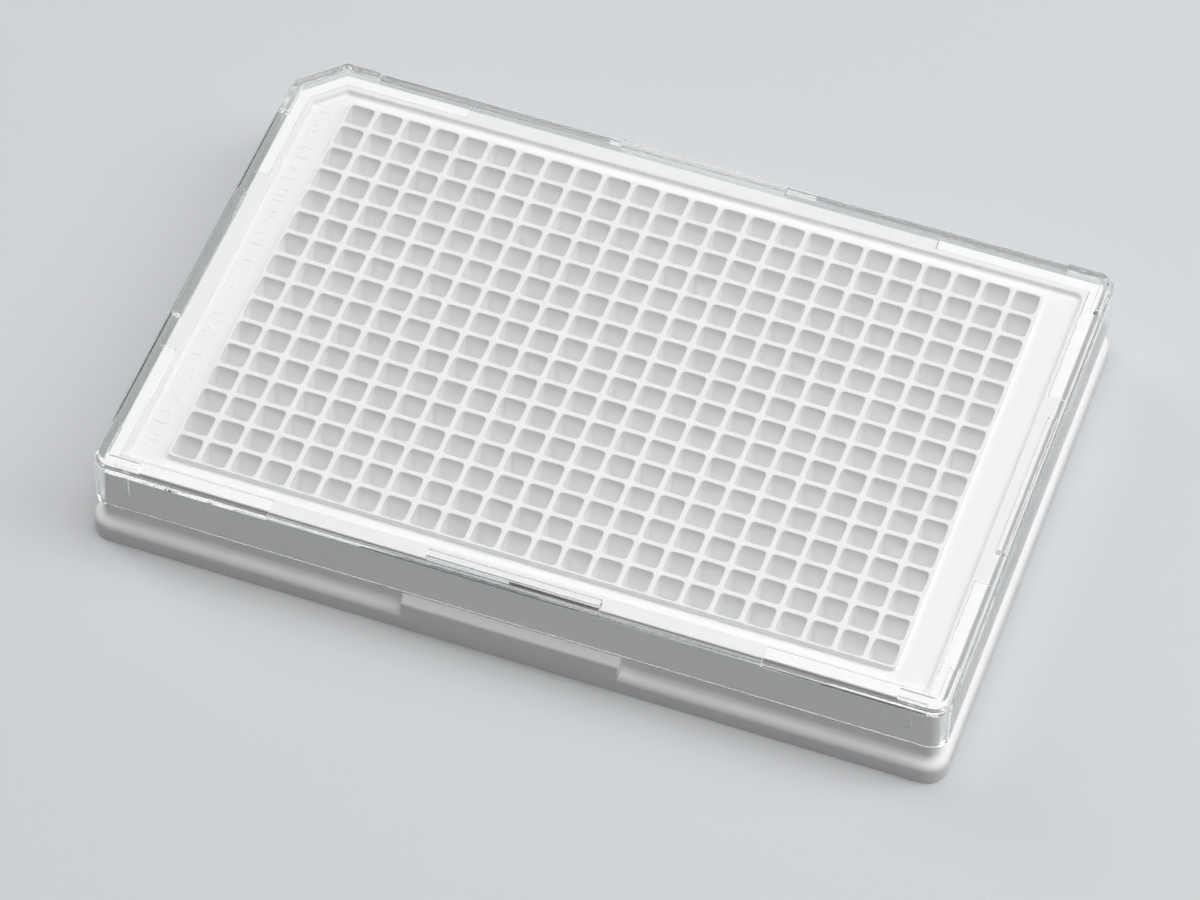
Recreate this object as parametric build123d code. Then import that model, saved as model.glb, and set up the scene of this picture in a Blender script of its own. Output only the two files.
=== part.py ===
from build123d import *
import os
from math import atan2, degrees, sqrt

# 384-well microplate with its lid on. Millimetres, +Z up.
# Origin: centre of the footprint, on the surface that the plate stands on.
# +X runs along the columns 1 to 24 and +Y towards row A, so the cut-off A1 corner is at -X, +Y.
# An "inset" is always measured inwards from the edge of the footprint.

# Footprint and flange of the plate
footprint_length = 127.76
footprint_width = 85.48
footprint_corner_radius = 3.18
plate_height = 14.35
flange_lip_height = 2.41        # the upright band that grippers and nests hold
flange_lip_step = 0.12          # the surface above starts this far behind the band
flange_curve_height = 2.45      # height of the S-curve from the band up to the wall
flange_foot = 0.90              # width of the edge that the plate stands on
wall_foot_inset = 1.50          # outside of the wall, at the top of the S-curve
wall_top_inset = 2.00           # the same wall at the rim, drawn in by its draft
wall_thickness = 1.15
deck_thickness = 1.10
a1_notch = 5.50                 # length cut off each side of the rim at the A1 corner
notch_round = 0.90
inner_corner_radius = 1.10      # round corners of the inner outlines

# Finger grips: the band stands taller at the middle of each long side
grip_length = 32.60
grip_face_height = 5.60
grip_bevel = 1.50
grip_edge_round = 0.30

# Rim, channel and raised well field on top
rim_width = 2.60
rim_edge_break = 0.20
channel_depth = 0.95
channel_cove = 0.70
field_margin = 0.40             # land outside the outer wells
field_corner_radius = 0.70

# Wells: as many as fit, which is 24 columns and 16 rows
least_channel_ends = 5.00       # between the rim and the field, at the short sides
least_channel_sides = 2.00      # and along the long sides
well_pitch = 4.50
well_opening = 3.70
well_bottom_width = 3.30
well_depth = 11.55
well_floor = 0.95
block_wall = 1.00               # wall round the block of wells, below the deck
block_corner_radius = 1.60

# Lid
lid_clearance = 0.22            # between the skirt's lower edge and the wall of the plate
lid_wall = 1.00
lid_panel = 1.15
lid_skirt_depth = 8.20          # from the top of the panel to the lower edge
lid_draft = 0.08                # the skirt is this much narrower at its top, each side
lid_edge_round = 0.30
seat_height = 0.30              # ledges under the panel, which rest on the rim
seat_width = 2.55
seat_reach_x = 27.0             # from the end of the lid, along a long side
seat_reach_y = 24.5             # from the side of the lid, along a short side

# Stacking ribs on the lid, which the flange of the next plate goes round
stack_clearance = 0.27
rib_width = 1.42
rib_height = 1.10
rib_edge_break = 0.22
middle_rib_length = 25.70
corner_rib_reach_x = 7.50
corner_rib_reach_y = 8.00
notch_rib_extra = 4.90          # the ribs beside the cut-off corner reach this much further

# Upright ribs inside the skirt, which centre the lid on the plate
guide_rib_width = 0.90
guide_rib_depth = 0.20
guide_rib_length = 4.00
guide_rib_from_end = 5.50

# Worked out from the values above
half_length = footprint_length / 2
half_width = footprint_width / 2
wall_foot_z = flange_lip_height + flange_curve_height
wall_draft = degrees(atan2(wall_top_inset - wall_foot_inset, plate_height - wall_foot_z))
channel_z = plate_height - channel_depth
ceiling_z = channel_z - deck_thickness
rim_inner_inset = wall_top_inset + rim_width
well_columns = int((footprint_length - 2 * (rim_inner_inset + least_channel_ends)) / well_pitch)
well_rows = int((footprint_width - 2 * (rim_inner_inset + least_channel_sides)) / well_pitch)
field_length = (well_columns - 1) * well_pitch + well_opening + 2 * field_margin
field_width = (well_rows - 1) * well_pitch + well_opening + 2 * field_margin
block_length = field_length + 2 * (block_wall - field_margin)
block_width = field_width + 2 * (block_wall - field_margin)
block_bottom_z = plate_height - well_depth - well_floor

panel_bottom_z = plate_height + seat_height
lid_top_z = panel_bottom_z + lid_panel
lid_bottom_z = lid_top_z - lid_skirt_depth
wall_inset_at_skirt = wall_foot_inset + (wall_top_inset - wall_foot_inset) * (
    (lid_bottom_z - wall_foot_z) / (plate_height - wall_foot_z)
)
skirt_inside_inset = wall_inset_at_skirt - lid_clearance
skirt_outside_inset = skirt_inside_inset - lid_wall
skirt_draft = degrees(atan2(lid_draft, lid_skirt_depth))
rib_outside_inset = flange_foot + stack_clearance


def corner_radius(inset):
    """Radius of the round corners on the outline at this inset."""
    return max(footprint_corner_radius - inset, inner_corner_radius)


def plain_plan(inset):
    """Footprint drawn in by inset, with four round corners."""
    return RectangleRounded(footprint_length - 2 * inset, footprint_width - 2 * inset, corner_radius(inset))


def notched_plan(inset):
    """The same outline with the A1 corner cut off at 45 degrees, parallel at every inset."""
    x = half_length - inset
    y = half_width - inset
    notch = a1_notch + (2 - sqrt(2)) * (wall_top_inset - inset)
    past = footprint_corner_radius
    cut_off = Polyline(
        (-x - past, y - notch - past),
        (-x + notch + past, y + past),
        (-x - past, y + past),
        close=True,
    )
    plan = plain_plan(inset) - make_face(cut_off)
    on_cut = x + y - notch
    blunt = plan.vertices().filter_by(lambda v: abs(v.Y - v.X - on_cut) < 1e-4)
    return fillet(blunt, notch_round)


def prism(plan, bottom_z, height, draft=0.0):
    """Upright body on a plan, drawn in by draft degrees towards its top."""
    return extrude(Pos(0, 0, bottom_z) * plan, height, taper=draft)


def flange_curve():
    """The S-curve all round, from the band up to the wall: two equal arcs swept along the edge."""
    outer = -half_width + flange_lip_step
    inner = -half_width + wall_foot_inset
    middle = ((outer + inner) / 2, flange_lip_height + flange_curve_height / 2)
    back = inner + wall_thickness / 2
    profile = make_face(
        [
            TangentArc((outer, flange_lip_height), middle, tangent=(0, 1)),
            TangentArc((inner, wall_foot_z), middle, tangent=(0, -1)),
            Polyline((inner, wall_foot_z), (back, wall_foot_z), (back, flange_lip_height), (outer, flange_lip_height)),
        ]
    )
    path = FilletPolyline(
        (0, -half_width),
        (half_length, -half_width),
        (half_length, half_width),
        (0, half_width),
        radius=footprint_corner_radius,
    )
    half_ring = sweep(Plane.YZ * profile, path=path)
    return half_ring + mirror(half_ring, Plane.YZ)


def finger_grip():
    """Taller piece of the band at the middle of the near long side."""
    face_y = -half_width
    back_y = face_y + wall_foot_inset + wall_thickness / 2
    side = make_face(
        Polyline(
            (face_y, 0),
            (face_y, grip_face_height),
            (face_y + grip_bevel, grip_face_height + grip_bevel),
            (back_y, grip_face_height + grip_bevel),
            (back_y, 0),
            close=True,
        )
    )
    grip = extrude(Plane.YZ * side, grip_length / 2, both=True)
    front = grip.edges().filter_by(lambda e: e.center().Y < face_y + grip_bevel - 0.01 and e.center().Z > 0.01)
    return fillet(front, grip_edge_round)


def underside_pocket():
    """Hollow inside the flange and the wall, up to the underside of the deck."""
    foot_height = flange_lip_height - flange_lip_step
    neck_z = wall_foot_z + flange_lip_step
    neck_inset = wall_foot_inset + wall_thickness
    neck_slope = degrees(atan2(neck_inset - flange_foot, neck_z - foot_height))
    foot = prism(plain_plan(flange_foot), 0, foot_height)
    neck = prism(notched_plan(flange_foot), foot_height, neck_z - foot_height, neck_slope)
    upper = prism(notched_plan(neck_inset), neck_z, ceiling_z - neck_z, wall_draft)
    return foot + neck + upper


def upper_wall():
    """Notched wall from the flange up to the rim, with its top edge broken."""
    wall_height = plate_height - rim_edge_break - wall_foot_z
    wall = prism(notched_plan(wall_foot_inset), wall_foot_z, wall_height, wall_draft)
    return wall + extrude(wall.faces().sort_by(Axis.Z)[-1], rim_edge_break, taper=45)


def channel():
    """Low channel between the rim and the raised field of wells, with a cove under the rim."""
    basin = prism(notched_plan(rim_inner_inset), channel_z, channel_depth - rim_edge_break)
    broken_edge = extrude(basin.faces().sort_by(Axis.Z)[-1], rim_edge_break, taper=-45)
    basin = fillet(basin.edges().group_by(Axis.Z)[0], channel_cove)
    field = prism(RectangleRounded(field_length, field_width, field_corner_radius), channel_z, channel_depth)
    return basin + broken_edge - field


def wells():
    """All the wells: square, and narrower at the bottom so that the mould's pins draw out."""
    draw_in = (well_opening - well_bottom_width) / 2
    far_side = well_opening - draw_in
    pin = Wedge(well_opening, well_depth, well_opening, draw_in, draw_in, far_side, far_side)
    well = Pos(0, 0, plate_height - well_depth / 2) * Rot(-90, 0, 0) * pin
    return [place * well for place in GridLocations(well_pitch, well_pitch, well_columns, well_rows)]


def make_well_plate():
    body = prism(plain_plan(0), 0, flange_lip_height) + prism(plain_plan(wall_foot_inset), 0, wall_foot_z)
    body += flange_curve()
    grip = finger_grip()
    body += [grip, mirror(grip, Plane.XZ)]
    body += upper_wall()
    body -= channel()
    body -= underside_pocket()
    block_height = ceiling_z - block_bottom_z
    body += prism(RectangleRounded(block_length, block_width, block_corner_radius), block_bottom_z, block_height)
    return body - wells()


def corner_zones(reach_x, reach_y, extra_at_notch=0.0):
    """Four tall blocks that keep only the corners of a ring, measured in from the outside of the lid."""
    lid_x = half_length - skirt_outside_inset
    lid_y = half_width - skirt_outside_inset
    zones = []
    for sign_x in (-1, 1):
        for sign_y in (-1, 1):
            extra = extra_at_notch if sign_x < 0 < sign_y else 0.0
            size_x = reach_x + extra
            size_y = reach_y + extra
            block = Box(size_x, size_y, 4 * lid_top_z)
            zones.append(Pos(sign_x * (lid_x - size_x / 2), sign_y * (lid_y - size_y / 2)) * block)
    return zones


def stacking_ribs():
    """Raised ribs round the top of the lid, at the corners and at the middle of each side."""
    ring = prism(notched_plan(rib_outside_inset), lid_top_z, rib_height)
    ring -= prism(notched_plan(rib_outside_inset + rib_width), lid_top_z, rib_height)
    across = Box(footprint_length, middle_rib_length, 4 * lid_top_z)
    along = Box(middle_rib_length, footprint_width, 4 * lid_top_z)
    corners = corner_zones(corner_rib_reach_x, corner_rib_reach_y, notch_rib_extra)
    ribs = []
    for zone in [across, along, *corners]:
        for rib in (ring & zone).solids():
            ribs.append(chamfer(rib.edges().group_by(Axis.Z)[-1], rib_edge_break))
    return ribs


def seat_ledges():
    """Low ledges under the panel, in the corners only, so that air can pass between them."""
    ring = prism(notched_plan(skirt_inside_inset), plate_height, seat_height + lid_panel / 2)
    ring -= prism(notched_plan(skirt_inside_inset + seat_width), plate_height, seat_height + lid_panel / 2)
    return [ring & zone for zone in corner_zones(seat_reach_x, seat_reach_y)]


def guide_ribs():
    """Small upright ribs inside the long sides of the skirt, near the corners."""
    lid_x = half_length - skirt_outside_inset
    notch_run = a1_notch + (2 - sqrt(2)) * (wall_top_inset - skirt_outside_inset)
    inside_y = half_width - skirt_inside_inset
    rib = Box(guide_rib_width, guide_rib_depth + lid_wall / 2, guide_rib_length)
    ribs = []
    for sign_x in (-1, 1):
        for sign_y in (-1, 1):
            from_end = guide_rib_from_end + (notch_run if sign_x < 0 < sign_y else 0.0)
            ribs.append(
                Pos(
                    sign_x * (lid_x - from_end),
                    sign_y * (inside_y - guide_rib_depth + (guide_rib_depth + lid_wall / 2) / 2),
                    panel_bottom_z - guide_rib_length / 2,
                )
                * rib
            )
    return ribs


def make_lid():
    cap = prism(notched_plan(skirt_outside_inset), lid_bottom_z, lid_skirt_depth, skirt_draft)
    cap = fillet(cap.edges().group_by(Axis.Z)[-1], lid_edge_round)
    cap -= prism(notched_plan(skirt_inside_inset), lid_bottom_z, panel_bottom_z - lid_bottom_z, skirt_draft)
    return cap + seat_ledges() + guide_ribs() + stacking_ribs()


os.makedirs("parts", exist_ok=True)
export_step(make_well_plate(), "parts/well_plate.step")
export_step(make_lid(), "parts/lid.step")
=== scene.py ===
# %% [markdown]
# # A 384-well microplate with its clear lid
#
# The real object is two injection mouldings. A white polystyrene plate holds 24 by 16 square wells,
# and a clear polystyrene lid rests loosely on its rim. It has no colour and no label, so all that
# the eye gets is the order of the wells, the soft white of the plate, and the bright and dark
# lines that the edges of the lid draw.
#
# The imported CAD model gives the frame: sizes and places are taken from it, and the Blender pieces
# stand in for its two nodes with softer edges and real finishes.

# %% Load the frame
import math

import bmesh
import bpy
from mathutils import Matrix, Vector


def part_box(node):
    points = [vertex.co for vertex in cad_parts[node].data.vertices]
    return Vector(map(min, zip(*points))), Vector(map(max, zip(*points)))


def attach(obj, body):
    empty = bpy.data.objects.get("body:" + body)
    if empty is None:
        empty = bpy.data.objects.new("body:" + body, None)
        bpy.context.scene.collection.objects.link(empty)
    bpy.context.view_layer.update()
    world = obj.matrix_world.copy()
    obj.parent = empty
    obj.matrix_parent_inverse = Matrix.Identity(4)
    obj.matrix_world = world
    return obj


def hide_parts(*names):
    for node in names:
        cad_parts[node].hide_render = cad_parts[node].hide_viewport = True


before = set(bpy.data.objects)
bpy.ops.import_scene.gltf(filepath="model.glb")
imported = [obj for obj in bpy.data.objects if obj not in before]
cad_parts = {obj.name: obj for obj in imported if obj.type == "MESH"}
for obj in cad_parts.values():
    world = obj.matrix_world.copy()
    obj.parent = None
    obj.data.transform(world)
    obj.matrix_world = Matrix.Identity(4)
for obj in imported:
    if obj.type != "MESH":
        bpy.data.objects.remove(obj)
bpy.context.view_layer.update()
MM = 0.001
plate_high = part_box("well_plate")[1]
lid_low, lid_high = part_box("lid")
half_length = plate_high[0] / MM
half_width = plate_high[1] / MM
print("footprint in mm:", round(2 * half_length, 2), "by", round(2 * half_width, 2))

# %% [markdown]
# ## Working as by hand
#
# Every piece starts as a primitive and is shaped in edit mode. An operator acts on what is
# selected, so these helpers select faces and edges by their place in millimetres. `inset` with
# a depth moves a face inwards and along its normal at once. A chain of such steps draws a
# moulded profile, such as the S-curve of the flange, right round the plate.

# %% Helpers for selecting and shaping
def add_box(name, low, high):
    """A cube primitive between two corners in millimetres, left in edit mode."""
    bpy.ops.object.select_all(action="DESELECT")
    size = [(h - l) * MM for l, h in zip(low, high)]
    centre = [(h + l) / 2 * MM for l, h in zip(low, high)]
    bpy.ops.mesh.primitive_cube_add(size=1, location=centre, scale=size)
    bpy.ops.object.transform_apply(location=True, rotation=True, scale=True)
    piece = bpy.context.object
    piece.name = name
    bpy.ops.object.mode_set(mode="EDIT")
    return piece


def pick(kind, test):
    """Select the faces or edges whose centre, in millimetres, passes the test."""
    bpy.ops.mesh.select_mode(type=kind)
    bpy.ops.mesh.select_all(action="DESELECT")
    mesh = bpy.context.edit_object.data
    shape = bmesh.from_edit_mesh(mesh)
    shape.normal_update()
    found = 0
    for item in shape.edges if kind == "EDGE" else shape.faces:
        if kind == "EDGE":
            centre = (item.verts[0].co + item.verts[1].co) / 2 / MM
        else:
            centre = item.calc_center_median() / MM
        if test(item, centre):
            item.select_set(True)
            found += 1
    bmesh.update_edit_mesh(mesh, loop_triangles=False, destructive=False)
    return found


def run_of(edge):
    """The edge's direction and length in millimetres, as one vector."""
    return (edge.verts[1].co - edge.verts[0].co) / MM


def upright(edge):
    """True for an edge that climbs much more than it leans."""
    run = run_of(edge)
    return abs(run.z) > 3 * math.hypot(run.x, run.y)


def near(a, b, within=0.04):
    """True when two lengths in millimetres are the same within a small allowance."""
    return abs(a - b) < within


def step(inward, along):
    """Inset the selected face and move it along its normal, in millimetres."""
    bpy.ops.mesh.inset(thickness=inward * MM, depth=along * MM, use_even_offset=True)


def move(x, y, z):
    """Extrude the selection by a shift in millimetres."""
    bpy.ops.mesh.extrude_region_move(TRANSFORM_OT_translate={"value": (x * MM, y * MM, z * MM)})


def soften(width, segments):
    """Round the selected edges."""
    bpy.ops.mesh.bevel(offset=width * MM, segments=segments, affect="EDGES", clamp_overlap=False)


# %% [markdown]
# ## The outline that every level shares
#
# A microplate is drawn in from one standard footprint. One corner of the upper body is cut off at
# 45 degrees, so that the first well can be told by touch, and at each level this cut stays
# parallel to itself. `inset_at` says how far a point lies inside the footprint, whichever
# side, round corner or cut it is nearest to.

# %% Outline of the plate
corner_round = 3.18
cut_line_setback = 6.6716  # how much less y - x is on the cut than at the sharp corner
cut_line = half_length + half_width - cut_line_setback
bevel_per_radius = math.tan(math.pi / 8)  # where the outline turns by 45 degrees


def inset_at(x, y):
    """Distance in millimetres from the footprint's edge inwards, with the cut corner."""
    from_end = half_length - abs(x)
    from_side = half_width - abs(y)
    from_cut = (cut_line - (y - x)) / math.sqrt(2)
    if from_cut < min(from_end, from_side):
        return from_cut
    if from_end < corner_round and from_side < corner_round:
        return corner_round - math.hypot(corner_round - from_end, corner_round - from_side)
    return min(from_end, from_side)


def cut_corner(inset, z):
    """Bisect the selected level face along the 45 degree cut at this inset."""
    on_line = cut_line - math.sqrt(2) * inset
    place = Vector((-on_line / 2, on_line / 2, z)) * MM
    bpy.ops.mesh.bisect(plane_co=place, plane_no=(-1, 1, 0))


def pick_main_face(z, facing):
    """Select the largest level face at this height that looks up (1) or down (-1)."""
    areas = []

    def is_level(f, c):
        """True for a level face at this height. Its area is noted."""
        level = near(c.z, z) and f.normal.z * facing > 0.9
        if level:
            areas.append(f.calc_area())
        return level

    pick("FACE", is_level)
    widest = max(areas)
    return pick("FACE", lambda f, c: is_level(f, c) and f.calc_area() > 0.99 * widest)


print("inset at the cut corner of the footprint:", round(inset_at(-half_length, half_width), 2))

# %% [markdown]
# ## The white plate, outside
#
# The body is one moulding with walls about a millimetre thick. It starts as a slab as tall as the
# flange's upright band. The top face is then drawn in and up: the S-curve, the drafted wall,
# the rounded rim. Drawing one face inwards keeps all walls parallel, which scaling would not.

# %% Steps that draw a curve
def quarter_round(radius, pieces):
    """Steps (inward, along) of a quarter circle that starts upright and ends level."""
    angles = [math.pi / 2 * i / pieces for i in range(pieces + 1)]
    points = [(radius * (1 - math.cos(a)), radius * math.sin(a)) for a in angles]
    return [(b[0] - a[0], b[1] - a[1]) for a, b in zip(points, points[1:])]


def s_curve(width, height, pieces):
    """Steps of two equal arcs, upright at both ends, that lean in by width over height."""
    turn = 2 * math.atan2(width, height)
    radius = height / 2 / math.sin(turn)
    angles = [turn * i / pieces for i in range(pieces + 1)]
    lower = [(radius * (1 - math.cos(a)), radius * math.sin(a)) for a in angles]
    upper = [(width - x, height - z) for x, z in reversed(lower[:-1])]
    points = lower + upper
    return [(b[0] - a[0], b[1] - a[1]) for a, b in zip(points, points[1:])]


steps = [(round(inward, 2), round(up, 2)) for inward, up in quarter_round(1, 3)]
print("inward and up, for a quarter round of 1 mm in three steps:", steps)

# %% Flange, S-curve and wall
band_z = 2.41
curve_top_z = 4.86
rim_z = plate_high[2] / MM
wall_foot = 1.50
wall_top = 2.00
rim_round = 0.22

plate = add_box("white_well_plate", (-half_length, -half_width, 0),
                (half_length, half_width, band_z))
pick("EDGE", lambda e, c: upright(e))
soften(corner_round, 10)
pick_main_face(band_z, 1)
for inward, up in s_curve(wall_foot, curve_top_z - band_z, 6):
    step(inward, up)
cut_corner(wall_foot, curve_top_z)
pick_main_face(curve_top_z, 1)
step(wall_top - wall_foot, rim_z - rim_round - curve_top_z)


def beside_cut(e, c):
    """The two upright edges at the ends of the cut corner."""
    long_enough = upright(e) and run_of(e).length > 5
    from_cut = (cut_line - (c.y - c.x)) / math.sqrt(2)
    return long_enough and c.x < 0 < c.y and near(from_cut, (wall_foot + wall_top) / 2, 0.05)


print("edges beside the cut:", pick("EDGE", beside_cut))
soften((corner_round - wall_top) * bevel_per_radius, 5)
pick_main_face(rim_z - rim_round, 1)
for inward, up in quarter_round(rim_round, 4):
    step(inward, up)

# %% [markdown]
# ## The hollow underside
#
# The photograph doesn't show the underside. Such plates are hollow below: a narrow foot, then the
# inside of the flange and wall, up to the deck that carries the wells. It is made like the
# top, from the bottom face, going up.

# %% Underside
foot = 0.90
neck_z = 2.29
neck_top_z = 4.98
neck_inset = 2.65
pocket_draft = 0.38
ceiling_z = 12.30

pick_main_face(0, -1)
step(foot, 0)
move(0, 0, neck_z)
cut_corner(foot, neck_z)
pick_main_face(neck_z, -1)
step(neck_inset - foot, neck_z - neck_top_z)
step(pocket_draft, neck_top_z - ceiling_z)
bpy.ops.object.mode_set(mode="OBJECT")
print("closed shell of the plate:", len(plate.data.polygons), "faces")

# %% [markdown]
# ## Finger grips
#
# At the middle of each long side the flange's band stands taller, as a pad for finger and thumb
# or for a robot's gripper. It is a small block with a sloped top that merges into the S-curve.
# A Boolean union trims it to the curved wall, which no extrusion would follow. One grip is
# made and turned half a turn for the other side.

# %% Finger grips
grip_reach = 16.3
grip_foot_z = 2.20
grip_face_z = 5.60
grip_bevel = 1.50
grip_back = 2.60
grip_undercut = 2.00
grip_edge_round = 0.30

grips = add_box("finger_grips", (-grip_reach, -half_width, grip_foot_z),
                (grip_reach, grip_back - half_width, grip_face_z + grip_bevel))
pick("EDGE", lambda e, c: c.y > 0.5 - half_width and near(c.z, grip_foot_z) and near(c.x, 0))
bpy.ops.transform.translate(value=(0, -grip_undercut * MM, 0))
pick("EDGE", lambda e, c: near(c.y, -half_width) and near(c.z, grip_face_z + grip_bevel))
soften(grip_bevel, 1)
pick("EDGE", lambda e, c: c.y < grip_bevel / 2 + 0.1 - half_width and c.z > grip_foot_z + 0.3)
soften(grip_edge_round, 3)
bpy.ops.mesh.select_all(action="SELECT")
bpy.ops.mesh.duplicate()
bpy.ops.transform.rotate(value=math.pi, orient_axis="Z", center_override=(0, 0, 0))
bpy.ops.object.mode_set(mode="OBJECT")
bpy.ops.object.select_all(action="DESELECT")
plate.select_set(True)
bpy.context.view_layer.objects.active = plate
union = plate.modifiers.new("grips", "BOOLEAN")
union.operation = "UNION"
union.solver = "EXACT"
union.object = grips
bpy.ops.object.modifier_apply(modifier=union.name)
bpy.data.objects.remove(grips)
bpy.ops.object.mode_set(mode="EDIT")
print("plate with grips:", pick("FACE", lambda f, c: True), "faces")

# %% [markdown]
# ## Rim, channel and cove
#
# Inside the rim runs a low channel. Drawing the top face in that far would fold its round
# corners over, so the channel is a shallow basin of its own: a box with the same cut corner,
# open at the top. Its lower edge is bevelled into the cove that lets the moulding release
# and makes the channel easy to wipe. Then both loops of edges are joined by filling the flat
# rim between them, and the inner edge of the rim is softened.

# %% Helpers for open shapes
def cut_length(inset):
    """How much of each side the cut corner takes off the outline at this inset."""
    return half_length + half_width - 2 * inset - cut_line + math.sqrt(2) * inset


def add_notched_box(name, inset, low_z, high_z, corner):
    """A box on the plate's outline at an inset, with round corners and the cut corner."""
    x = half_length - inset
    y = half_width - inset
    piece = add_box(name, (-x, -y, low_z), (x, y, high_z))
    pick("EDGE", lambda e, c: upright(e) and (c.x > 0 or c.y < 0))
    soften(corner, 10)
    pick("EDGE", lambda e, c: upright(e) and c.x < 0 < c.y)
    soften(cut_length(inset), 1)
    return piece


def turns(e):
    """The angle in degrees between the two faces at an edge."""
    return math.degrees(e.calc_face_angle(0)) if len(e.link_faces) == 2 else 0


def blunt_cut(radius, low_z, high_z, within=math.inf):
    """Round the upright edges at both ends of the cut corner, between two heights."""
    found = pick("EDGE", lambda e, c: upright(e) and 40 < turns(e) < 50 and low_z < c.z < high_z
                 and inset_at(c.x, c.y) < within)
    soften(radius * bevel_per_radius, 5)
    print("rounded ends of the cut:", found)


def drop_face(z, facing):
    """Delete the large level face at this height, and keep the loop of edges round it."""
    pick_main_face(z, facing)
    bpy.ops.mesh.delete(type="ONLY_FACE")


def join_into(piece, part):
    """Join another object into a piece, and go on in the piece's edit mode."""
    bpy.ops.object.mode_set(mode="OBJECT")
    bpy.ops.object.select_all(action="DESELECT")
    part.select_set(True)
    piece.select_set(True)
    bpy.context.view_layer.objects.active = piece
    bpy.ops.object.join()
    bpy.ops.object.mode_set(mode="EDIT")


def fill_between(z):
    """Fill the flat between the open loops of edges at this height."""
    loops = pick("EDGE", lambda e, c: e.is_boundary and near(c.z, z)
                 and near(e.verts[0].co.z / MM, z))
    bpy.ops.mesh.fill(use_beauty=True)
    print("filled at", round(z, 2), "mm from", loops, "edges")


# %% Channel
rim_inner = 4.60
channel_z = 13.40
channel_corner = 1.20
cut_end_round = 1.00
rim_inner_round = 0.25
cove = 0.60

drop_face(rim_z, 1)
bpy.ops.object.mode_set(mode="OBJECT")
channel = add_notched_box("channel", rim_inner, channel_z, rim_z, channel_corner)
blunt_cut(cut_end_round, channel_z, rim_z)
pick("EDGE", lambda e, c: near(c.z, channel_z))
soften(cove, 5)
drop_face(rim_z, 1)
drop_face(channel_z, -1)
join_into(plate, channel)
fill_between(rim_z)


def inner_rim_edge(e, c):
    """An edge between the flat rim and the channel's wall."""
    drops = len(e.link_faces) == 2 and min(f.normal.z for f in e.link_faces) < 0.5
    return drops and near(c.z, rim_z) and near(inset_at(c.x, c.y), rim_inner, 0.6)


print("edges round the inside of the rim:", pick("EDGE", inner_rim_edge))
soften(rim_inner_round, 3)

# %% [markdown]
# ## The field of wells
#
# The wells are what such a plate is for, and the piece of the mould that takes the most skill: 384
# square pins with a slight draft, all in line. One cell of 4.5 mm is modelled: a flat square
# whose middle goes down as a well, narrower at the bottom, with round corners and a softened
# mouth. The square is a grid of two halves. The slanting edges that the inset draws at its
# corners are dissolved, so that later bevels find only edges that run straight in and the land
# between the wells stays flat. Two arrays repeat the cell and merge the seams, then the outer
# edge is taken down to the channel.

# %% One well
pitch = 4.50
columns = 24
rows = 16
opening = 3.70
bottom_width = 3.30
well_depth = 11.55
well_corner_round = 0.55
mouth_round = 0.18

first_x = -(columns - 1) / 2 * pitch
first_y = -(rows - 1) / 2 * pitch
bpy.ops.object.mode_set(mode="OBJECT")
bpy.ops.object.select_all(action="DESELECT")
bpy.ops.mesh.primitive_grid_add(x_subdivisions=2, y_subdivisions=1, size=pitch * MM,
                                location=(first_x * MM, first_y * MM, rim_z * MM))
bpy.ops.object.transform_apply(location=True, rotation=True, scale=True)
field = bpy.context.object
field.name = "well_field"
bpy.ops.object.mode_set(mode="EDIT")
pick("FACE", lambda f, c: True)
step((pitch - opening) / 2, 0)
move(0, 0, -well_depth)
narrow = bottom_width / opening
well_foot = (first_x * MM, first_y * MM, (rim_z - well_depth) * MM)
bpy.ops.transform.resize(value=(narrow, narrow, 1), center_override=well_foot)
pick("EDGE", lambda e, c: near(c.z, rim_z) and min(abs(run_of(e).x), abs(run_of(e).y)) > 0.1)
bpy.ops.mesh.dissolve_edges(use_verts=False)
pick("EDGE", lambda e, c: upright(e) and abs(c.x - first_x) > 1)
soften(well_corner_round, 2)


def mouth_edge(e, c):
    """An edge round the opening of the well."""
    off_centre = max(abs(c.x - first_x), abs(c.y - first_y))
    return near(c.z, rim_z) and off_centre < opening / 2 + 0.05


pick("EDGE", mouth_edge)
soften(mouth_round, 3)
print("faces of one well:", pick("FACE", lambda f, c: True))

# %% All the wells
bpy.ops.object.mode_set(mode="OBJECT")
for count, direction in ((columns, (pitch * MM, 0, 0)), (rows, (0, pitch * MM, 0))):
    array = field.modifiers.new("repeat", "ARRAY")
    array.count = count
    array.use_relative_offset = False
    array.use_constant_offset = True
    array.constant_offset_displace = direction
    array.use_merge_vertices = True
    array.merge_threshold = 0.005 * MM
    bpy.ops.object.modifier_apply(modifier=array.name)
bpy.ops.object.mode_set(mode="EDIT")
field_x = columns * pitch / 2
field_y = rows * pitch / 2
field_corner_round = 0.70
field_edge_round = 0.12
pick("EDGE", lambda e, c: e.is_boundary)
move(0, 0, channel_z - rim_z)
pick("EDGE", lambda e, c: upright(e) and near(abs(c.x), field_x) and near(abs(c.y), field_y))
soften(field_corner_round, 5)


def field_border(e, c):
    """The level top edge round the whole field."""
    outside = abs(c.x) > field_x - 0.25 or abs(c.y) > field_y - 0.25
    tilts = sorted(f.normal.z for f in e.link_faces)
    return near(c.z, rim_z) and outside and len(tilts) == 2 and tilts[0] < 0.1 and tilts[1] > 0.9


print("edges round the field:", pick("EDGE", field_border))
soften(field_edge_round, 2)
bpy.ops.object.mode_set(mode="OBJECT")
print("field of wells:", len(field.data.polygons), "faces")

# %% [markdown]
# ## Row letters
#
# The mould has the row letters A to P engraved, so on the plate they stand a little proud of the
# channel's floor beside the wells. White on white, they show only by the light on their edges.
# They are text objects turned into meshes. The face under each letter is deleted, so that
# the channel's floor can be filled right up to the letters, as one skin with them.

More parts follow.
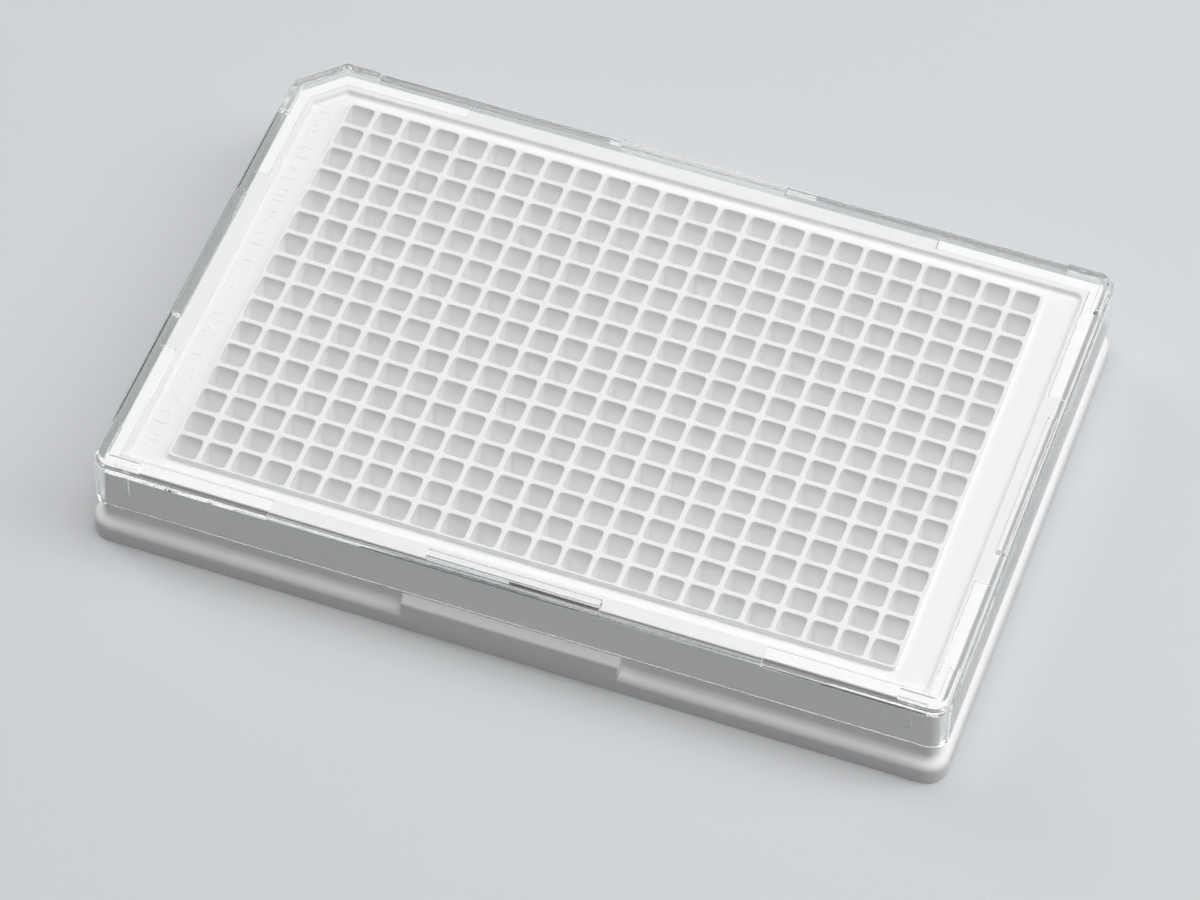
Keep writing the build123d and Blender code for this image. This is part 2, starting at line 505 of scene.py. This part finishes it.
# %% Row letters
letter_x = -57.3
letter_height = 2.7
letter_relief = 0.08
capital_share = 0.70  # a capital's height as a share of the text's size

bpy.ops.object.select_all(action="DESELECT")
letters = []
for row in range(rows):
    middle = (channel_z + letter_relief / 2) * MM
    bpy.ops.object.text_add(location=(letter_x * MM, -(first_y + row * pitch) * MM, middle))
    letter = bpy.context.object
    letter.data.body = chr(ord("A") + row)
    letter.data.size = letter_height / capital_share * MM
    letter.data.align_x = "CENTER"
    letter.data.align_y = "CENTER"
    letter.data.extrude = letter_relief / 2 * MM
    letter.data.resolution_u = 3
    letters.append(letter)
bpy.ops.object.select_all(action="DESELECT")
for letter in letters:
    letter.select_set(True)
bpy.context.view_layer.objects.active = letters[0]
bpy.ops.object.convert(target="MESH")
bpy.ops.object.join()
bpy.ops.object.transform_apply(location=True, rotation=True, scale=True)
row_letters = bpy.context.object
row_letters.name = "row_letters"
bpy.ops.object.mode_set(mode="EDIT")
bpy.ops.mesh.select_all(action="SELECT")
bpy.ops.mesh.remove_doubles(threshold=0.001 * MM)
print("faces under the letters:", pick("FACE", lambda f, c: f.normal.z < -0.9))
bpy.ops.mesh.delete(type="FACE")
bpy.ops.object.mode_set(mode="OBJECT")

# %% [markdown]
# ## Joining the plate
#
# Field, channel and shell become one skin, as on the moulding. Shapes that only reach into each
# other would look joined too, but they would leave hidden walls and open edges in the mesh. So
# the level floor of the channel is filled between its loop of edges and the field's. The same
# is done below for the block that holds the wells.
#
# A finished piece has its doubles merged and its faces turned outwards. Its normals are weighted
# by area: the wide flats stay flat, and only the narrow rounds between them look round.

# %% Finishing a piece
def finish_piece(piece, crease=32):
    """Merge, face outwards, and shade so that flats stay flat and only the rounds are smooth."""
    bpy.ops.object.mode_set(mode="EDIT")
    bpy.ops.mesh.select_all(action="SELECT")
    bpy.ops.mesh.remove_doubles(threshold=0.002 * MM)
    bpy.ops.mesh.normals_make_consistent(inside=False)
    bpy.ops.object.mode_set(mode="OBJECT")
    bpy.ops.object.shade_smooth_by_angle(angle=math.radians(crease))
    bpy.ops.object.modifier_add(type="WEIGHTED_NORMAL")
    piece.modifiers[-1].keep_sharp = True
    piece.modifiers[-1].weight = 100
    bpy.ops.object.modifier_apply(modifier=piece.modifiers[-1].name)
    edges = bmesh.new()
    edges.from_mesh(piece.data)
    open_edges = sum(1 for e in edges.edges if len(e.link_faces) != 2)
    volume = edges.calc_volume() / MM**3 / 1000
    edges.free()
    print(piece.name, "faces:", len(piece.data.polygons), "open edges:", open_edges)
    print(piece.name, "volume in cm3:", round(volume, 2))


# %% Join field, block and shell
block_x = field_x + 0.60
block_y = field_y + 0.60
block_foot_z = 1.85
block_corner_round = 1.60
block_edge_round = 0.30

block = add_box("block", (-block_x, -block_y, block_foot_z), (block_x, block_y, ceiling_z))
pick("EDGE", lambda e, c: upright(e))
soften(block_corner_round, 6)
pick("EDGE", lambda e, c: near(c.z, block_foot_z))
soften(block_edge_round, 3)
drop_face(ceiling_z, 1)
join_into(plate, field)
join_into(plate, row_letters)
fill_between(channel_z)
drop_face(ceiling_z, -1)
join_into(plate, block)
fill_between(ceiling_z)
finish_piece(plate)
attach(plate, "root")
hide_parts("well_plate")

# %% [markdown]
# ## The clear lid
#
# The lid is a flat panel with a skirt, moulded in clear polystyrene. A clear piece shows each of
# its faces twice, from outside and from inside, so its wall has to be real: the hollow is made
# from the lower edge by an inset and extrusions, as the mould's core makes it. Low ledges in
# the corners carry the lid on the rim, and leave gaps for air between them. Small upright
# ribs inside the long sides centre it. They stay behind where the rest of the hollow goes
# further up.

# %% Skirt and hollow
lid_z = 15.80
lid_foot_z = lid_low[2] / MM
rib_z = lid_high[2] / MM
lid_inset = half_length - lid_high[0] / MM
lid_wall = 1.00
lid_draft = 0.08
inside = lid_inset + lid_wall

lid = add_notched_box("clear_lid", lid_inset, lid_foot_z, lid_z, corner_round - lid_inset)
lid_x = half_length - lid_inset
lid_y = half_width - lid_inset
pick_main_face(lid_z, 1)
drawn_in = (1 - lid_draft / lid_x, 1 - lid_draft / lid_y, 1)
bpy.ops.transform.resize(value=drawn_in, center_override=(0, 0, lid_z * MM))
pick_main_face(lid_foot_z, -1)
step(lid_wall, 0)
print("lid in mm:", round(2 * lid_x, 2), "by", round(2 * lid_y, 2))

# %% Guide ribs, ledges and panel
guide_z = 10.65
guide_depth = 0.20
guide_half = 0.45
guide_x = lid_x - 5.5
ledge_height = 0.30
ledge_inset = inside + 2.55
ledge_x = lid_x - 27.0
ledge_y = lid_y - 24.5
guide_places = [(-guide_x, -1), (guide_x, -1), (guide_x, 1), (cut_length(lid_inset) - guide_x, 1)]


def cut_level(z, x=None, y=None):
    """Bisect all faces that look down at this height, along a line of constant x or y."""
    pick("FACE", lambda f, c: near(c.z, z) and f.normal.z < -0.9)
    if x is not None:
        bpy.ops.mesh.bisect(plane_co=(x * MM, 0, z * MM), plane_no=(1, 0, 0))
    else:
        bpy.ops.mesh.bisect(plane_co=(0, y * MM, z * MM), plane_no=(0, 1, 0))


def is_guide(c):
    """True inside the foot of one of the upright guide ribs."""
    inward = half_width - inside - abs(c.y)
    at_rib = any(abs(c.x - x) < guide_half and c.y * side > 0 for x, side in guide_places)
    return at_rib and inward < guide_depth


def is_ledge(c):
    """True on the ledges that rest on the rim, in the four corners."""
    return abs(c.x) > ledge_x and abs(c.y) > ledge_y and inset_at(c.x, c.y) < ledge_inset


move(0, 0, guide_z - lid_foot_z)
for x, side in guide_places:
    cut_level(guide_z, x=x - guide_half)
    cut_level(guide_z, x=x + guide_half)
for side in (-1, 1):
    cut_level(guide_z, y=side * (half_width - inside - guide_depth))
pick("FACE", lambda f, c: near(c.z, guide_z) and f.normal.z < -0.9 and not is_guide(c))
move(0, 0, rim_z - guide_z)
for side in (-1, 1):
    cut_level(rim_z, x=side * ledge_x)
    cut_level(rim_z, x=side * (half_length - ledge_inset))
    cut_level(rim_z, y=side * ledge_y)
    cut_level(rim_z, y=side * (half_width - ledge_inset))
pick("FACE", lambda f, c: near(c.z, rim_z) and f.normal.z < -0.9)
cut_corner(ledge_inset, rim_z)
pick("FACE", lambda f, c: near(c.z, rim_z) and f.normal.z < -0.9 and not is_ledge(c))
move(0, 0, ledge_height)
print("faces of the ledges:", pick("FACE", lambda f, c: near(c.z, rim_z) and is_ledge(c)))

# %% [markdown]
# ## Stacking ribs
#
# The next plate of a stack stands on the lid's edge, and these ribs reach up inside its flange.
# They run round the corners and stand at the middle of each side. Boxes laid on the lid would show
# their undersides through the clear plastic, so the ribs grow out of the panel itself. The top
# face is inset twice, for the outside and the inside of a ring. The ring is cut by bisecting
# it, and only the stretches that are ribs are extruded.

# %% Stacking ribs
rib_outside = 1.17
rib_width = 1.42
middle_half = 12.85
corner_x = lid_x - 7.5
corner_y = lid_y - 8.0
notch_extra = 4.9


def on_ring(f, c):
    """A level face of the ring on which the ribs stand."""
    level = near(c.z, lid_z) and f.normal.z > 0.9
    return level and rib_outside < inset_at(c.x, c.y) < rib_outside + rib_width


def is_rib(f, c):
    """A face of the ring where a rib stands."""
    middle = abs(c.x) < middle_half or abs(c.y) < middle_half
    corner = abs(c.x) > corner_x and abs(c.y) > corner_y
    by_cut = -c.x > corner_x - notch_extra and c.y > corner_y - notch_extra
    return on_ring(f, c) and (middle or corner or by_cut)


pick_main_face(lid_z, 1)
step(rib_outside - lid_inset - lid_draft, 0)
step(rib_width, 0)
for x in (-middle_half, middle_half, -corner_x, corner_x, notch_extra - corner_x):
    pick("FACE", on_ring)
    bpy.ops.mesh.bisect(plane_co=(x * MM, 0, 0), plane_no=(1, 0, 0))
for y in (-middle_half, middle_half, -corner_y, corner_y, corner_y - notch_extra):
    pick("FACE", on_ring)
    bpy.ops.mesh.bisect(plane_co=(0, y * MM, 0), plane_no=(0, 1, 0))
print("faces under the ribs:", pick("FACE", is_rib))
move(0, 0, rib_z - lid_z)

# %% [markdown]
# ## Edges of the lid
#
# Light gathers in the edges of a clear moulding, so they are what is seen of it. The flat faces
# that were cut only for selecting are merged again. The upright edges at the ends of the cut
# corner are rounded only now, because a face drawn inwards past them would have folded over.
# Then each run of edges gets its round: the top edge of the skirt, the ribs, the lower edge.

# %% Soften the lid's edges
skirt_cut_round = 0.90
rib_cut_round = 0.30
rib_edge_round = 0.22
top_edge_round = 0.30
low_edge_round = 0.18


def top_edge(e, c):
    """An edge between the skirt and the top of the panel."""
    outermost = inset_at(c.x, c.y) < lid_inset + lid_draft + 0.1
    return outermost and near(c.z, lid_z) and turns(e) > 60


def ledge_edge(e, c):
    """A lower edge of the ledges, away from the skirt."""
    return near(c.z, rim_z) and turns(e) > 60 and inset_at(c.x, c.y) > inside + 0.3


bpy.ops.mesh.select_all(action="SELECT")
bpy.ops.mesh.dissolve_limited(angle_limit=math.radians(0.2))
blunt_cut(skirt_cut_round, lid_foot_z, lid_z, within=lid_inset + 0.3)
blunt_cut(rib_cut_round, lid_z, rib_z)
print("edges of the ribs:", pick("EDGE", lambda e, c: c.z > lid_z + 0.1 and turns(e) > 60))
soften(rib_edge_round, 3)
print("top edges:", pick("EDGE", top_edge))
soften(top_edge_round, 5)
print("lower edges:", pick("EDGE", lambda e, c: near(c.z, lid_foot_z) and turns(e) > 60))
soften(low_edge_round, 3)
print("edges of the ledges:", pick("EDGE", ledge_edge))
soften(low_edge_round, 3)
finish_piece(lid)
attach(lid, "root")
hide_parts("lid")

# %% [markdown]
# ## Colours and nodes
#
# Colours are written as sRGB hex, as a paint chart gives them, and turned to linear light once.
# A pattern's scale is the number of its features in a metre, so it comes from a size in
# millimetres.

# %% Helpers for materials
# A Mix node has a set of sockets for each type of data. These are its sockets for colours.
COLOUR_A, COLOUR_B, COLOUR_RESULT = 6, 7, 2


def colour(code):
    """A linear RGBA colour from an sRGB hex code."""
    parts = [int(code[i:i + 2], 16) / 255 for i in (1, 3, 5)]
    linear = [p / 12.92 if p <= 0.04045 else ((p + 0.055) / 1.055) ** 2.4 for p in parts]
    return (*linear, 1.0)


def per_metre(size_mm):
    """The scale that makes a pattern's features this large."""
    return 1 / (size_mm * MM)


def add_node(tree, kind, links=(), **settings):
    """Add a node, set its properties and inputs by name, and link inputs to other outputs."""
    node = tree.nodes.new(kind)
    for name, value in settings.items():
        if hasattr(node, name):
            setattr(node, name, value)
        else:
            node.inputs[name.replace("_", " ")].default_value = value
    for name, source in dict(links).items():
        tree.links.new(source, node.inputs[name])
    return node


def new_material(name):
    """An empty node material with its output."""
    material = bpy.data.materials.new(name)
    material.use_nodes = True
    material.node_tree.nodes.clear()
    output = material.node_tree.nodes.new("ShaderNodeOutputMaterial")
    return material, material.node_tree, output


def dress(piece, material):
    """Give a piece one material."""
    piece.data.materials.clear()
    piece.data.materials.append(material)
    print(piece.name, "wears", material.name)


# %% [markdown]
# ## White polystyrene
#
# The plate is polystyrene filled with titanium white and injection-moulded. The pigment scatters
# nearly all light just under the skin, so it is a bright, even white with a satin skin: the
# mould's fine spark-eroded grain breaks up the shine. Roughness wanders slightly where the melt
# flowed. The real grain is a few hundredths of a millimetre across and too fine to show, so the
# bump that stands for it is drawn 0.25 mm across. The white is quite neutral, because in a deep
# well light is thrown from wall to wall many times, and each time adds to a tint.

# %% White polystyrene
white, tree, output = new_material("injection_moulded_white_polystyrene")
where = add_node(tree, "ShaderNodeTexCoord")
flow = add_node(tree, "ShaderNodeTexNoise", {"Vector": where.outputs["Object"]},
                Scale=per_metre(18), Detail=2.0)
tone = add_node(tree, "ShaderNodeMix", {"Factor": flow.outputs["Fac"]}, data_type="RGBA")
tone.inputs[COLOUR_A].default_value = colour("#FDFDFD")
tone.inputs[COLOUR_B].default_value = colour("#FEFEFE")
sheen = add_node(tree, "ShaderNodeMapRange", {"Value": flow.outputs["Fac"]},
                 To_Min=0.42, To_Max=0.52)
grain = add_node(tree, "ShaderNodeTexNoise", {"Vector": where.outputs["Object"]},
                 Scale=per_metre(0.25), Detail=1.0)
bump = add_node(tree, "ShaderNodeBump", {"Height": grain.outputs["Fac"]},
                Strength=0.06, Distance=0.02 * MM)
skin = add_node(tree, "ShaderNodeBsdfPrincipled",
                {"Base Color": tone.outputs[COLOUR_RESULT], "Roughness": sheen.outputs["Result"],
                 "Normal": bump.outputs["Normal"]}, IOR=1.59)
tree.links.new(skin.outputs["BSDF"], output.inputs["Surface"])
dress(plate, white)

# %% [markdown]
# ## Clear crystal polystyrene
#
# The lid is unfilled polystyrene from a polished mould. Its index of 1.59 is high for a plastic, so
# it bends and mirrors light strongly at every edge. The surface is nearly free of grain, with a
# faint slow waviness from the flow. Lamps and soft bounce light pass straight through it, by
# Light Path, so that the plate below is lit as under a real lid and stays free of noise. What
# the eye sees through it is bent as it should be.

# %% Clear polystyrene
clear, tree, output = new_material("injection_moulded_clear_polystyrene")
where = add_node(tree, "ShaderNodeTexCoord")
waves = add_node(tree, "ShaderNodeTexNoise", {"Vector": where.outputs["Object"]},
                 Scale=per_metre(9), Detail=1.0)
bump = add_node(tree, "ShaderNodeBump", {"Height": waves.outputs["Fac"]},
                Strength=0.05, Distance=0.02 * MM)
resin = add_node(tree, "ShaderNodeBsdfPrincipled", {"Normal": bump.outputs["Normal"]},
                 Roughness=0.0, IOR=1.59)
resin.inputs["Base Color"].default_value = colour("#FCFDFD")
resin.inputs["Transmission Weight"].default_value = 1.0
lamps_through = add_node(tree, "ShaderNodeBsdfTransparent", Color=colour("#FDFDFD"))
ray = add_node(tree, "ShaderNodeLightPath")
soft_light = add_node(tree, "ShaderNodeMath", operation="MAXIMUM")
tree.links.new(ray.outputs["Is Shadow Ray"], soft_light.inputs[0])
tree.links.new(ray.outputs["Is Diffuse Ray"], soft_light.inputs[1])
blend = add_node(tree, "ShaderNodeMixShader", {"Fac": soft_light.outputs["Value"]})
tree.links.new(resin.outputs["BSDF"], blend.inputs[1])
tree.links.new(lamps_through.outputs["BSDF"], blend.inputs[2])
tree.links.new(blend.outputs["Shader"], output.inputs["Surface"])
dress(lid, clear)

# %% [markdown]
# ## Floor, light and camera
#
# The studio is a sheet of pale paper under a dim room that is paler towards the horizon, as with
# a light wall behind. Three softboxes light the plate. The widest is overhead and reaches the
# bottoms of the wells. Those at the right and left stand a little behind the plate. They
# leave its near side in its own shade, which tells the eye how the flange curves. The
# overhead one is kept out of reflections: from straight above, the flat lid would mirror it as a
# veil over the wells.

# %% Floor
# Soft light that has bounced meets a darker paper than the eye does, so that the pale sheet
# doesn't fill the shade on the plate's near side. Away from the plate, where the lamps fade,
# the paper glows evenly to the eye and in reflections. Light that has bounced doesn't meet
# that glow.
bpy.ops.object.select_all(action="DESELECT")
bpy.ops.mesh.primitive_plane_add(size=8, location=(0, 0, 0))
floor = bpy.context.object
floor.name = "floor"
paper, tree, output = new_material("matt_grey_paper")
ray = add_node(tree, "ShaderNodeLightPath")
seen = add_node(tree, "ShaderNodeMath", operation="SUBTRACT", use_clamp=True)
seen.inputs[0].default_value = 1.0
tree.links.new(ray.outputs["Is Diffuse Ray"], seen.inputs[1])
shade = add_node(tree, "ShaderNodeMix", {"Factor": seen.outputs["Value"]}, data_type="RGBA")
shade.inputs[COLOUR_A].default_value = colour("#7C7D7E")
shade.inputs[COLOUR_B].default_value = colour("#D2D4D6")
matt = add_node(tree, "ShaderNodeBsdfPrincipled", {"Base Color": shade.outputs[COLOUR_RESULT]},
                Roughness=0.9, Specular_IOR_Level=0.2)
where = add_node(tree, "ShaderNodeTexCoord")
away = add_node(tree, "ShaderNodeVectorMath", {"Vector": where.outputs["Object"]},
                operation="LENGTH")
far = add_node(tree, "ShaderNodeMapRange", {"Value": away.outputs["Value"]},
               From_Min=0.2, From_Max=0.7, interpolation_type="SMOOTHSTEP")
glowing = add_node(tree, "ShaderNodeMath", operation="MULTIPLY")
tree.links.new(far.outputs["Result"], glowing.inputs[0])
tree.links.new(seen.outputs["Value"], glowing.inputs[1])
glow = add_node(tree, "ShaderNodeEmission", Color=colour("#D2D4D6"), Strength=1.0)
sheet = add_node(tree, "ShaderNodeMixShader", {"Fac": glowing.outputs["Value"]})
tree.links.new(matt.outputs["BSDF"], sheet.inputs[1])
tree.links.new(glow.outputs["Emission"], sheet.inputs[2])
tree.links.new(sheet.outputs["Shader"], output.inputs["Surface"])
dress(floor, paper)

# %% World and lamps
world = bpy.data.worlds.new("soft_studio")
bpy.context.scene.world = world
world.use_nodes = True
tree = world.node_tree
tree.nodes.clear()
where = add_node(tree, "ShaderNodeTexCoord")
height = add_node(tree, "ShaderNodeSeparateXYZ", {"Vector": where.outputs["Generated"]})
rise = add_node(tree, "ShaderNodeMapRange", {"Value": height.outputs["Z"]},
                From_Min=0.09, From_Max=0.24)
room = add_node(tree, "ShaderNodeMix", {"Factor": rise.outputs["Result"]}, data_type="RGBA")
room.inputs[COLOUR_A].default_value = colour("#D2D4D6")
room.inputs[COLOUR_B].default_value = colour("#3E3F41")
studio = add_node(tree, "ShaderNodeBackground", {"Color": room.outputs[COLOUR_RESULT]},
                  Strength=1.0)
world_output = tree.nodes.new("ShaderNodeOutputWorld")
tree.links.new(studio.outputs["Background"], world_output.inputs["Surface"])
print("world:", world.name)


def add_softbox(name, width, depth, watts, place, mirrored=True):
    """A rectangular area lamp that faces the plate. Unless mirrored, it shows in no reflection."""
    lamp_data = bpy.data.lights.new(name, "AREA")
    lamp_data.shape = "RECTANGLE"
    lamp_data.size = width
    lamp_data.size_y = depth
    lamp_data.energy = watts
    lamp = bpy.data.objects.new(name, lamp_data)
    bpy.context.scene.collection.objects.link(lamp)
    lamp.location = place
    lamp.visible_glossy = mirrored
    lamp.rotation_euler = (-lamp.location).to_track_quat("-Z", "Y").to_euler()
    print(name, "of", watts, "W at", place)


add_softbox("overhead_softbox", 0.95, 0.95, 8.8, (0.10, 0.02, 1.10), mirrored=False)
add_softbox("right_softbox", 0.6, 0.6, 3.8, (0.70, 0.20, 0.68))
add_softbox("left_softbox", 0.4, 0.7, 2.2, (-0.75, 0.30, 0.50))

# %% [markdown]
# ## Camera and paths of light
#
# The camera is a long lens well above the plate. Light is followed much further than usual. In the
# deep white wells it is thrown from wall to wall, so it is followed for 32 diffuse bounces:
# with the usual four the bottoms would stay too dark. Inside the clear panel it runs along by
# dozens of inner reflections before it leaves at an edge, and a path that is cut short shows
# there as a black line.

# %% Camera
camera_data = bpy.data.cameras.new("long_lens")
camera_data.lens = 162.75
camera_data.sensor_width = 36
camera_data.clip_start = 0.05
camera_data.clip_end = 20
camera = bpy.data.objects.new("camera", camera_data)
bpy.context.scene.collection.objects.link(camera)
camera.location = (0.1520, -0.4734, 0.6125)
camera_tilt = 38.930
camera.rotation_euler = [math.radians(a) for a in (camera_tilt, -1.269, 19.519)]
bpy.context.scene.camera = camera
bpy.context.scene.view_settings.view_transform = "Standard"
bounces = bpy.context.scene.cycles
bounces.max_bounces = 96
bounces.diffuse_bounces = 32
bounces.glossy_bounces = 96
bounces.transmission_bounces = 24
bounces.transparent_max_bounces = 24
print("camera looks down at", round(90 - camera_tilt, 1), "degrees")
